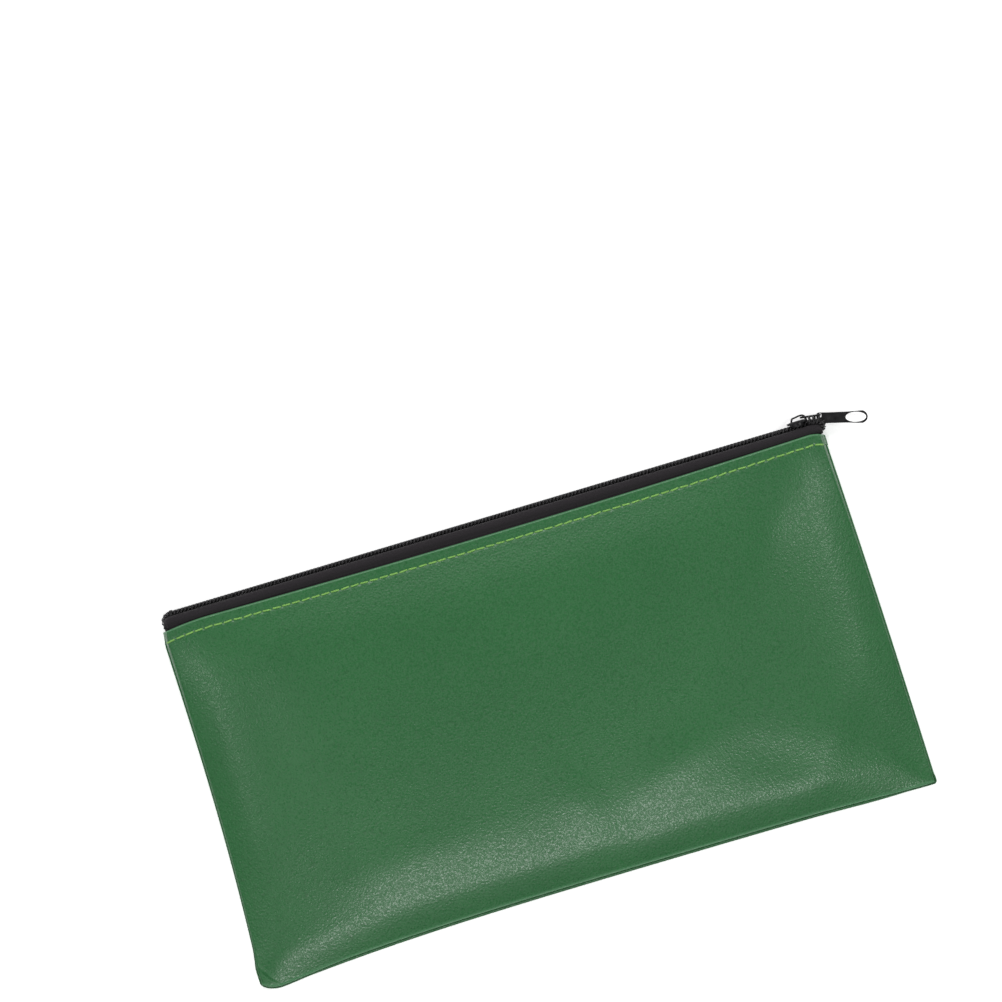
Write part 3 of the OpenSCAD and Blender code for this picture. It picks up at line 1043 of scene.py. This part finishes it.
def build_tab():
    """A flat tab with an eye for the link and an oval finger hole."""
    low, high = node_box("pull_tab")
    along = np.array([math.cos(TAB_DROP), -math.sin(TAB_DROP)])
    across = np.array([math.sin(TAB_DROP), math.cos(TAB_DROP)])
    base = FAR[:2] - along * EYE[0] - across * EYE[1]
    middle_z = (low[2] + high[2]) / 2
    tip, neck, r = TAB_L - TAB_W / 2, TAB_NECK / 2, TAB_CORNER_R
    outline = arc(r, neck - r, r, r, 180, 90, 6)
    outline += [(6.0, neck - TAB_WAIST), (12.0, neck)]
    outline += arc(tip, 0, TAB_W / 2, TAB_W / 2, 88, -88, 25)
    outline += [(12.0, -neck), (6.0, -neck + TAB_WAIST)]
    outline += arc(r, -neck + r, r, r, 270, 180, 6)
    eye = arc(*EYE, EYE_R, EYE_R, 180, 0, 11) + arc(EYE[0], EYE_LOW, EYE_R, EYE_R, 0, -180, 11)
    half = FINGER_L / 2
    finger = arc(TAB_L - TAB_RIM - half, 0, half, TAB_W / 2 - TAB_RIM + 0.1, 0, 350, 36)

    def place(co):
        flat = base + co[:, :1] * along + co[:, 1:2] * across
        return np.stack([flat[:, 0], flat[:, 1], middle_z + co[:, 2]], axis=1)

    points, faces = plate([outline, eye, finger], high[2] - low[2], 0.12, place)
    return make_object("pull_tab_plate", points, faces, "tab")


CLIP_SIDES = 12
CLIP_FLATTEN = 0.42


def build_stop(node, name, w0, w1):
    """A small flat clip crimped over the coil, from w0 to w1 across the zip."""
    low, high = node_box(node)
    cx, half = (low[0] + high[0]) / 2, (high[0] - low[0]) / 2
    section = smooth_path(
        [
            (TAPE_TOP + 0.2, w1), (COIL_TOP - 0.4, w1), (COIL_TOP + 0.1, w1 - 0.45),
            (COIL_TOP + 0.14, (w0 + w1) / 2), (COIL_TOP + 0.1, w0 + 0.45), (COIL_TOP - 0.6, w0),
        ],
        4,
    )
    line = np.stack([np.full(len(section), cx), section[:, 0], ZIP_Z + section[:, 1]], axis=1)
    points, faces = tube(line, half, CLIP_SIDES)
    centre = np.repeat(line, CLIP_SIDES, axis=0)
    away = points - centre
    away[:, 1:] *= CLIP_FLATTEN
    return make_object(name, centre + away, faces, "bag")


# ---- materials ----

class Shader:
    """A node material under construction."""

    def __init__(self, name, roughness, specular=0.5):
        self.material = bpy.data.materials.new(name)
        self.material.use_nodes = True
        self.nodes = self.material.node_tree.nodes
        self.links = self.material.node_tree.links
        self.base = self.nodes["Principled BSDF"]
        self.base.inputs["Roughness"].default_value = roughness
        self.base.inputs["Specular IOR Level"].default_value = specular
        self.coords = self.nodes.new("ShaderNodeTexCoord").outputs["Object"]

    def scaled(self, x, y, z):
        mapping = self.nodes.new("ShaderNodeMapping")
        mapping.inputs["Scale"].default_value = (x, y, z)
        self.links.new(self.coords, mapping.inputs["Vector"])
        return mapping.outputs["Vector"]

    def noise(self, scale, detail, vector=None, roughness=0.5):
        node = self.nodes.new("ShaderNodeTexNoise")
        node.inputs["Scale"].default_value = scale
        node.inputs["Detail"].default_value = detail
        node.inputs["Roughness"].default_value = roughness
        self.links.new(vector or self.coords, node.inputs["Vector"])
        return node.outputs["Fac"]

    def cells(self, scale):
        node = self.nodes.new("ShaderNodeTexVoronoi")
        node.feature = "SMOOTH_F1"
        node.inputs["Scale"].default_value = scale
        self.links.new(self.coords, node.inputs["Vector"])
        return node.outputs["Distance"]

    def wave(self, scale, direction, distortion):
        node = self.nodes.new("ShaderNodeTexWave")
        node.wave_type = "BANDS"
        node.bands_direction = direction
        node.inputs["Scale"].default_value = scale
        node.inputs["Distortion"].default_value = distortion
        self.links.new(self.coords, node.inputs["Vector"])
        return node.outputs["Fac"]

    def spread(self, fac, low, high, start=0.0, end=1.0):
        """Maps the values between start and end to those between low and high."""
        node = self.nodes.new("ShaderNodeMapRange")
        node.inputs["From Min"].default_value = start
        node.inputs["From Max"].default_value = end
        node.inputs["To Min"].default_value = low
        node.inputs["To Max"].default_value = high
        self.links.new(fac, node.inputs["Value"])
        return node.outputs["Result"]

    def math(self, operation, a, b):
        node = self.nodes.new("ShaderNodeMath")
        node.operation = operation
        for socket, value in zip(node.inputs, (a, b)):
            if isinstance(value, (int, float)):
                socket.default_value = value
            else:
                self.links.new(value, socket)
        return node.outputs["Value"]

    def mix(self, fac, a, b):
        """A colour between a and b, each a tuple or a socket."""
        node = self.nodes.new("ShaderNodeMix")
        node.data_type = "RGBA"
        self.links.new(fac, node.inputs["Factor"])
        for socket, value in ((node.inputs["A"], a), (node.inputs["B"], b)):
            if isinstance(value, tuple):
                socket.default_value = (*value, 1.0)
            else:
                self.links.new(value, socket)
        return node.outputs["Result"]

    def attribute(self, name):
        node = self.nodes.new("ShaderNodeAttribute")
        node.attribute_name = name
        return node.outputs["Fac"]

    def bump(self, height, strength, distance_mm):
        node = self.nodes.new("ShaderNodeBump")
        node.inputs["Strength"].default_value = strength
        node.inputs["Distance"].default_value = distance_mm * MM
        self.links.new(height, node.inputs["Height"])
        return node.outputs["Normal"]

    def finish(self, color, roughness, normal):
        """Links the shader up; a roughness of None leaves the constant one."""
        self.links.new(color, self.base.inputs["Base Color"])
        if roughness is not None:
            self.links.new(roughness, self.base.inputs["Roughness"])
        self.links.new(normal, self.base.inputs["Normal"])
        return self.material


def leatherette():
    """Grained green leatherette: a weak bump, and gloss that changes from pebble to pebble."""
    s = Shader("green_leatherette", 0.4, 0.5)
    mottle = s.noise(26, 4)
    fine = s.noise(900, 2)
    grain = s.cells(1250)
    pebble = s.noise(1500, 1)
    tone = s.mix(s.spread(mottle, 0, 1, 0.3, 0.7), (0.027, 0.150, 0.045), (0.032, 0.168, 0.051))
    tone = s.mix(s.spread(fine, 0, 0.35, 0.35, 0.75), tone, (0.045, 0.175, 0.068))
    tone = s.mix(s.spread(grain, 0, 0.4, 0.35, 0.8), tone, (0.018, 0.088, 0.028))
    # Painted highlight, a pale green, on the hem fold and the bottom ridge, and painted shade, a
    # dark green, at the bottom seam, both read from a vertex attribute
    painted_light = s.attribute("highlight_and_shade")
    tone = s.mix(s.spread(painted_light, 0, 0.85), tone, (0.12, 0.33, 0.16))
    tone = s.mix(s.spread(painted_light, 0, 0.7, 0, -1), tone, (0.014, 0.06, 0.022))
    height = s.math("ADD", grain, s.math("MULTIPLY", pebble, 0.5))
    normal = s.bump(height, 0.7, 0.12)
    rough = s.spread(pebble, 0.27, 0.48, 0.38, 0.62)
    return s.finish(tone, rough, normal)


def zip_tape():
    """Black woven polyester: ribs 0.35 mm apart, crossed by weft 0.26 mm apart."""
    s = Shader("woven_zip_tape", 0.8, 0.25)
    ribs = s.wave(909.0909, "X", 0.4)
    weft = s.wave(1190.4762, "Y", 0.3)
    fuzz = s.noise(2400, 3)
    height = s.math("ADD", s.math("MULTIPLY", ribs, 0.6), s.math("MULTIPLY", weft, 0.5))
    height = s.math("ADD", height, s.math("MULTIPLY", fuzz, 0.5))
    tone = s.mix(s.spread(height, 0, 1, 0.3, 1.3), (0.007, 0.006, 0.007), (0.040, 0.034, 0.040))
    s.base.inputs["Sheen Weight"].default_value = 0.15
    return s.finish(tone, None, s.bump(height, 0.6, 0.12))


def zip_coil():
    """Black nylon monofilament."""
    s = Shader("nylon_coil", 0.32, 0.5)
    drift = s.noise(350, 3)
    tone = s.mix(drift, (0.008, 0.008, 0.009), (0.024, 0.022, 0.025))
    return s.finish(tone, s.spread(drift, 0.24, 0.42), s.bump(drift, 0.2, 0.03))


def thread(name, dark, light):
    """Sewing thread, with its fibres along the zip."""
    s = Shader(name, 0.6, 0.3)
    fibre = s.noise(1, 3, s.scaled(1500, 5200, 5200))
    tone = s.mix(s.spread(fibre, 0, 1, 0.3, 0.7), dark, light)
    s.base.inputs["Sheen Weight"].default_value = 0.2
    return s.finish(tone, None, s.bump(fibre, 0.5, 0.05))


def black_metal():
    """Black enamel with orange peel and faint scuffs."""
    s = Shader("black_enamelled_metal", 0.34, 0.35)
    orange_peel = s.noise(1600, 2)
    scuff = s.noise(420, 5, roughness=0.7)
    tone = s.mix(s.spread(scuff, 0, 0.6, 0.55, 0.8), (0.008, 0.008, 0.009), (0.04, 0.04, 0.043))
    return s.finish(tone, s.spread(scuff, 0.26, 0.5, 0.3, 0.75), s.bump(orange_peel, 0.25, 0.04))


def floor_paper():
    """White paper that glows a little, so that shadows on it stay faint."""
    s = Shader("white_table", 0.7, 0.2)
    tooth = s.noise(700, 3)
    tone = s.mix(tooth, (0.93, 0.93, 0.93), (0.95, 0.95, 0.95))
    s.base.inputs["Emission Color"].default_value = (1, 1, 1, 1)
    s.base.inputs["Emission Strength"].default_value = 0.5
    return s.finish(tone, None, s.bump(tooth, 0.1, 0.02))


def dress(obj, material, slot, *nodes):
    """Gives a piece its material, and puts it in place of its CAD nodes. The slot is not used."""
    obj.data.materials.append(material)
    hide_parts(*nodes)
    return obj


def paint_highlight_and_shade(obj, front):
    """Paints highlight (1) along the folded top edge and the front's bottom ridge, and shade (-1)
    where the front tucks into the seam groove and on the back panel's lip strip.
    """
    co = np.array([v.co for v in obj.data.vertices]) / MM
    x, y = co[:, 0], co[:, 1]
    d_bottom = y - bottom_y(x) - lip_bottom(x)
    # Painted highlight along the rounded fold of the top edge
    fold = np.clip(1.2 - np.abs(y - edge_y(x) + 0.1) / 0.6, 0, 1)
    if front:
        # Painted highlight on the front's ridge above the bottom seam, and painted shade where it
        # tucks into the groove
        ridge = 0.75 * hump(d_bottom - 0.6, 0.6) - 0.35 * hump(d_bottom + 0.1, 0.25)
    else:
        # Painted shade on the back panel's lip strip below the front panel
        ridge = -0.2 * (1 - ramp(d_bottom / 1.5))
    value = np.clip(ridge + fold, -1, 1)
    layer = obj.data.attributes.new("highlight_and_shade", "FLOAT", "POINT")
    layer.data.foreach_set("value", value.astype(np.float32))


# ---- build ----

leather = leatherette()
tape = zip_tape()
coil = zip_coil()
black_thread = thread("black_thread", (0.006, 0.006, 0.007), (0.022, 0.02, 0.022))
lime_thread = thread("lime_thread", (0.17, 0.42, 0.075), (0.38, 0.72, 0.19))
green_thread = thread("green_thread", (0.02, 0.09, 0.03), (0.05, 0.16, 0.07))
metal = black_metal()

front = dress(
    build_panel("front_panel_leatherette", front_z, 1, FRONT_TUCK, 1),
    leather, "leatherette", "front_panel",
)
back = dress(
    build_panel("back_panel_leatherette", back_z, 0, BACK_LIP, -1),
    leather, "leatherette", "back_panel",
)
# Painted highlight and painted shade on both panels, kept in a vertex attribute
paint_highlight_and_shade(front, True)
paint_highlight_and_shade(back, False)

# Each side of the zip: its tape, coil loops, filler cord, coil sewing and hem stitches
for word, side in (("front", 1), ("back", -1)):
    dress(build_tape(word + "_tape_weave", side), tape, "zip_tape", word + "_tape")
    loops = dress(build_coil(word + "_coil_loops", side), coil, "zip_coil", word + "_coil")
    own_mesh(loops)
    dress(build_cord(word + "_coil_filler", side), black_thread, "zip_thread", word + "_coil_cord")
    dress(
        build_coil_thread(word + "_coil_sewing", side),
        black_thread, "zip_thread", word + "_coil_thread",
    )
    dress(
        build_topstitch(word + "_hem_stitches", side),
        lime_thread, "stitch_thread", word + "_topstitch",
    )

for which in ("left", "right", "bottom"):
    dress(
        build_seam_thread(which + "_seam_thread", seam_runs(which)),
        green_thread, "seam_thread", which + "_seam_stitch",
    )

dress(build_slider_body(), metal, "black_metal", "slider_body")
dress(build_bridge(), metal, "black_metal", "slider_bridge")
dress(build_link(), metal, "black_metal", "pull_link")
dress(build_tab(), metal, "black_metal", "pull_tab")

for word, w0, w1 in (("front_top", 0.85, 3.2), ("back_top", -3.2, -0.85), ("bottom", -3.2, 3.2)):
    node = word + "_stop"
    dress(build_stop(node, word + "_clip", w0, w1), metal, "black_metal", node)


# ---- floor, light and camera ----

FLOOR_HALF = 4.0
FLOOR_Z = -0.00005


def build_floor():
    """The white table that the bag lies on."""
    corners = [(-1, -1), (1, -1), (1, 1), (-1, 1)]
    mesh = bpy.data.meshes.new("table_top")
    points = [(x * FLOOR_HALF, y * FLOOR_HALF, FLOOR_Z) for x, y in corners]
    mesh.from_pydata(points, [], [(0, 1, 2, 3)])
    floor = bpy.data.objects.new("table_top", mesh)
    bpy.context.scene.collection.objects.link(floor)
    mesh.materials.append(floor_paper())


def softbox(name, place, size_x, size_y, power):
    """An area light that looks at the middle of the bag."""
    light = bpy.data.lights.new(name, "AREA")
    light.shape = "RECTANGLE"
    light.size = size_x
    light.size_y = size_y
    light.energy = power
    obj = bpy.data.objects.new(name, light)
    bpy.context.scene.collection.objects.link(obj)
    obj.location = place
    obj.rotation_euler = (Vector((0, 0, 0)) - Vector(place)).to_track_quat("-Z", "Y").to_euler()


def build_world(strength):
    """Even white light from all round."""
    world = bpy.data.worlds.new("studio")
    bpy.context.scene.world = world
    world.use_nodes = True
    background = world.node_tree.nodes["Background"]
    background.inputs["Color"].default_value = (1, 1, 1, 1)
    background.inputs["Strength"].default_value = strength


# The camera looks straight down, rolled so that the zip climbs to the right. It sees a
# width of VIEW_WIDTH at the height of the bag's face. These are in metres.
ROLL_DEG = 16.6
CAMERA_HEIGHT = 1.6
FACE_Z = 0.008
VIEW_WIDTH = 0.3965
AIM_RIGHT = -0.0174
AIM_UP = 0.0780
SENSOR_MM = 36


def build_camera():
    a = math.radians(ROLL_DEG)
    right = Vector((math.cos(a), -math.sin(a), 0))
    up = Vector((math.sin(a), math.cos(a), 0))
    data = bpy.data.cameras.new("camera")
    data.sensor_width = SENSOR_MM
    data.lens = SENSOR_MM * (CAMERA_HEIGHT - FACE_Z) / VIEW_WIDTH
    data.clip_start = 0.05
    camera = bpy.data.objects.new("camera", data)
    bpy.context.scene.collection.objects.link(camera)
    camera.location = right * AIM_RIGHT + up * AIM_UP + Vector((0, 0, CAMERA_HEIGHT))
    camera.rotation_euler = (0, 0, -a)
    bpy.context.scene.camera = camera


# Softboxes: name, place in metres, two sides in metres, watts
SOFTBOXES = [
    ("south_box", (-0.12, -0.85, 1.35), 0.8, 0.22, 7.6),
    ("west_box", (-0.92, 0.10, 1.30), 0.22, 0.6, 2.8),
    ("east_box", (0.95, 0.15, 1.30), 0.25, 0.7, 4.4),
    ("north_box", (0.10, 1.30, 1.10), 1.2, 0.5, 11.6),
]

build_floor()
build_world(0.125)
for row in SOFTBOXES:
    softbox(*row)
build_camera()
bpy.context.scene.view_settings.view_transform = "Standard"
